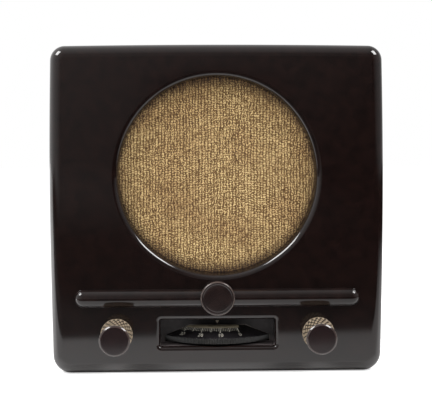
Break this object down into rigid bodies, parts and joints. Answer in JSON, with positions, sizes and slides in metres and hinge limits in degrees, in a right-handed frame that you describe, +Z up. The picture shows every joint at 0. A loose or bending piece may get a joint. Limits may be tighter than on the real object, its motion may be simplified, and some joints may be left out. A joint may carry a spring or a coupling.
{
  "type": "radio receiver",
  "caption": "Small square table radio with a moulded dark cabinet, a round cloth-covered loudspeaker opening, a thumb-wheel tuning dial and a knob on each side.",
  "frame": {"origin": "middle of the cabinet's footprint on the ground, knobs left out", "axes": "+Z up, the front looks towards -Y, +X to the viewer's right"},
  "size_m": [0.242, 0.146, 0.239],
  "materials": {
    "bakelite": "polished moulded phenolic",
    "knob_bakelite": "moulded phenolic",
    "dial_bakelite": "moulded phenolic",
    "speaker_cloth": "ribbed cloth",
    "fibre_board": "pressed board",
    "card": "card",
    "leather": "soft leather",
    "cone_paper": "pressed paper",
    "steel": "plated",
    "magnet_steel": "dull",
    "brass": "turned",
    "aluminium": "stamped",
    "hard_paper": "varnished paper laminate",
    "copper_wire": "enamelled",
    "lead_cover": "woven sleeve",
    "valve_shield": "sprayed",
    "valve_glass": "clear",
    "socket_moulding": "moulded",
    "can_paint": "varnished",
    "ceramic": "glazed",
    "wax_paper": "waxed",
    "rubber": "matt"
  },
  "bodies": {
    "set": {"cabinet": "bakelite", "speaker_cloth": "speaker_cloth", "baffle_board": "fibre_board", "baffle_screws": "steel", "card_gasket": "card", "cone_surround": "leather", "speaker_basket": "steel", "speaker_screws": "steel", "motor_plate": "brass", "speaker_magnet": "magnet_steel", "pole_shoes": "steel", "speaker_coil": "copper_wire", "reed_clamp": "steel", "speaker_leads": "lead_cover", "tuning_bushing": "brass", "tuning_stator": "aluminium", "tuning_frame": "hard_paper", "wave_contacts": "brass", "coil_former": "hard_paper", "coil_windings": "copper_wire", "regeneration_stator": "aluminium", "regeneration_frame": "hard_paper", "mains_switch": "socket_moulding", "control_bushings": "brass", "control_nuts": "steel", "front_bracket": "steel", "chassis_board": "hard_paper", "chassis_screws": "steel", "main_valve_bulb": "valve_shield", "main_valve_base": "socket_moulding", "main_valve_socket": "socket_moulding", "rectifier_bulb": "valve_glass", "rectifier_base": "socket_moulding", "rectifier_socket": "socket_moulding", "filter_capacitor": "can_paint", "dropping_resistor": "ceramic", "resistor_clips": "steel", "tubular_capacitors": "wax_paper", "socket_strip": "hard_paper", "aerial_sockets": "brass", "back_cover": "fibre_board", "cover_screws": "steel", "cord_grommet": "rubber"},
    "tuning": {"tuning_wheel": "dial_bakelite", "tuning_shaft": "steel", "tuning_rotor": "aluminium", "wave_cam": "hard_paper"},
    "coupling": {"coupling_knob": "knob_bakelite", "coupling_screw": "steel", "coupling_shaft": "steel", "coupling_coil": "copper_wire"},
    "regeneration": {"regeneration_knob": "knob_bakelite", "regeneration_screw": "steel", "regeneration_shaft": "steel", "regeneration_rotor": "aluminium"},
    "cone": {"speaker_cone": "cone_paper", "cone_hub": "brass", "drive_pin": "steel"},
    "reed": {"armature_reed": "steel"}
  },
  "joints": [
    {"name": "tuning_turn", "type": "hinge", "parent": "set", "child": "tuning", "pos_m": [0, -0.0094, 0.03], "axis": [0, 0, 1], "continuous": true},
    {"name": "coupling_turn", "type": "hinge", "parent": "set", "child": "coupling", "pos_m": [-0.0733, -0.06, 0.0294], "axis": [0, -1, 0], "range_deg": [0, 90]},
    {"name": "regeneration_turn", "type": "hinge", "parent": "set", "child": "regeneration", "pos_m": [0.0733, -0.06, 0.0294], "axis": [0, -1, 0], "range_deg": [-90, 90]},
    {"name": "cone_travel", "type": "slide", "parent": "set", "child": "cone", "axis": [0, 1, 0], "range_m": [-0.0005, 0.0005], "stiffness_N_per_m": 700},
    {"name": "reed_swing", "type": "hinge", "parent": "set", "child": "reed", "pos_m": [0, 0, 0.1697], "axis": [1, 0, 0], "range_deg": [-1.2, 1.2]}
  ],
  "couplings": [
    {"joint": "reed_swing", "follows": "cone_travel", "rad_per_m": 39.216}
  ]
}
